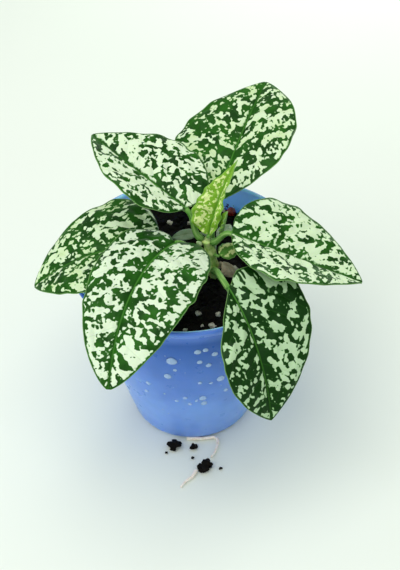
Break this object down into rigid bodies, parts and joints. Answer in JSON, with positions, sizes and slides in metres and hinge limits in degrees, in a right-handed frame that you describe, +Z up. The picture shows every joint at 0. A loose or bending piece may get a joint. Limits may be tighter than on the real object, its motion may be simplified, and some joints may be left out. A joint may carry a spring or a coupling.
{
  "type": "potted polka dot plant",
  "caption": "Young house plant with broad white-splashed green leaves in a tapered round plastic nursery pot that stands on its flat base.",
  "frame": {"origin": "centre of the pot's underside", "axes": "+Z up along the pot's axis, -Y towards the front of the plant"},
  "size_m": [0.1036, 0.1154, 0.1015],
  "materials": {
    "pot_plastic": "glossy blue plastic, wet",
    "soil": "damp dark potting soil",
    "stem_green": "smooth green skin",
    "leaf_spotted": "dark green leaf splashed with white",
    "leaf_young": "yellow-green young leaf with pale dots",
    "leaf_withered": "dry brown leaf",
    "leaf_pale": "pale grey-green leaf",
    "bud_pale": "pale green bud",
    "perlite": "matte white porous grain",
    "prill_coating": "satin dark red coating",
    "root_pale": "pale damp root"
  },
  "bodies": {
    "root": {"bud_front": "bud_pale", "bud_left": "bud_pale", "crumb_1": "soil", "crumb_2": "soil", "crumb_3": "soil", "crumb_4": "soil", "crumb_5": "soil", "crumb_6": "soil", "leaf_back_left": "leaf_spotted", "leaf_back_right": "leaf_spotted", "leaf_front_left": "leaf_spotted", "leaf_front_right": "leaf_spotted", "leaf_left": "leaf_spotted", "leaf_right": "leaf_spotted", "leaf_seed_left": "leaf_pale", "leaf_seed_right": "leaf_pale", "leaf_small_speckled": "leaf_young", "leaf_withered": "leaf_withered", "leaf_young_folded": "leaf_young", "leaf_young_small": "leaf_young", "perlite_01": "perlite", "perlite_02": "perlite", "perlite_03": "perlite", "perlite_04": "perlite", "perlite_05": "perlite", "perlite_06": "perlite", "perlite_07": "perlite", "perlite_08": "perlite", "perlite_09": "perlite", "perlite_10": "perlite", "perlite_11": "perlite", "perlite_12": "perlite", "perlite_13": "perlite", "perlite_14": "perlite", "pot": "pot_plastic", "prill": "prill_coating", "root_loop": "root_pale", "root_loose": "root_pale", "soil": "soil", "stem": "stem_green"}
  },
  "joints": []
}
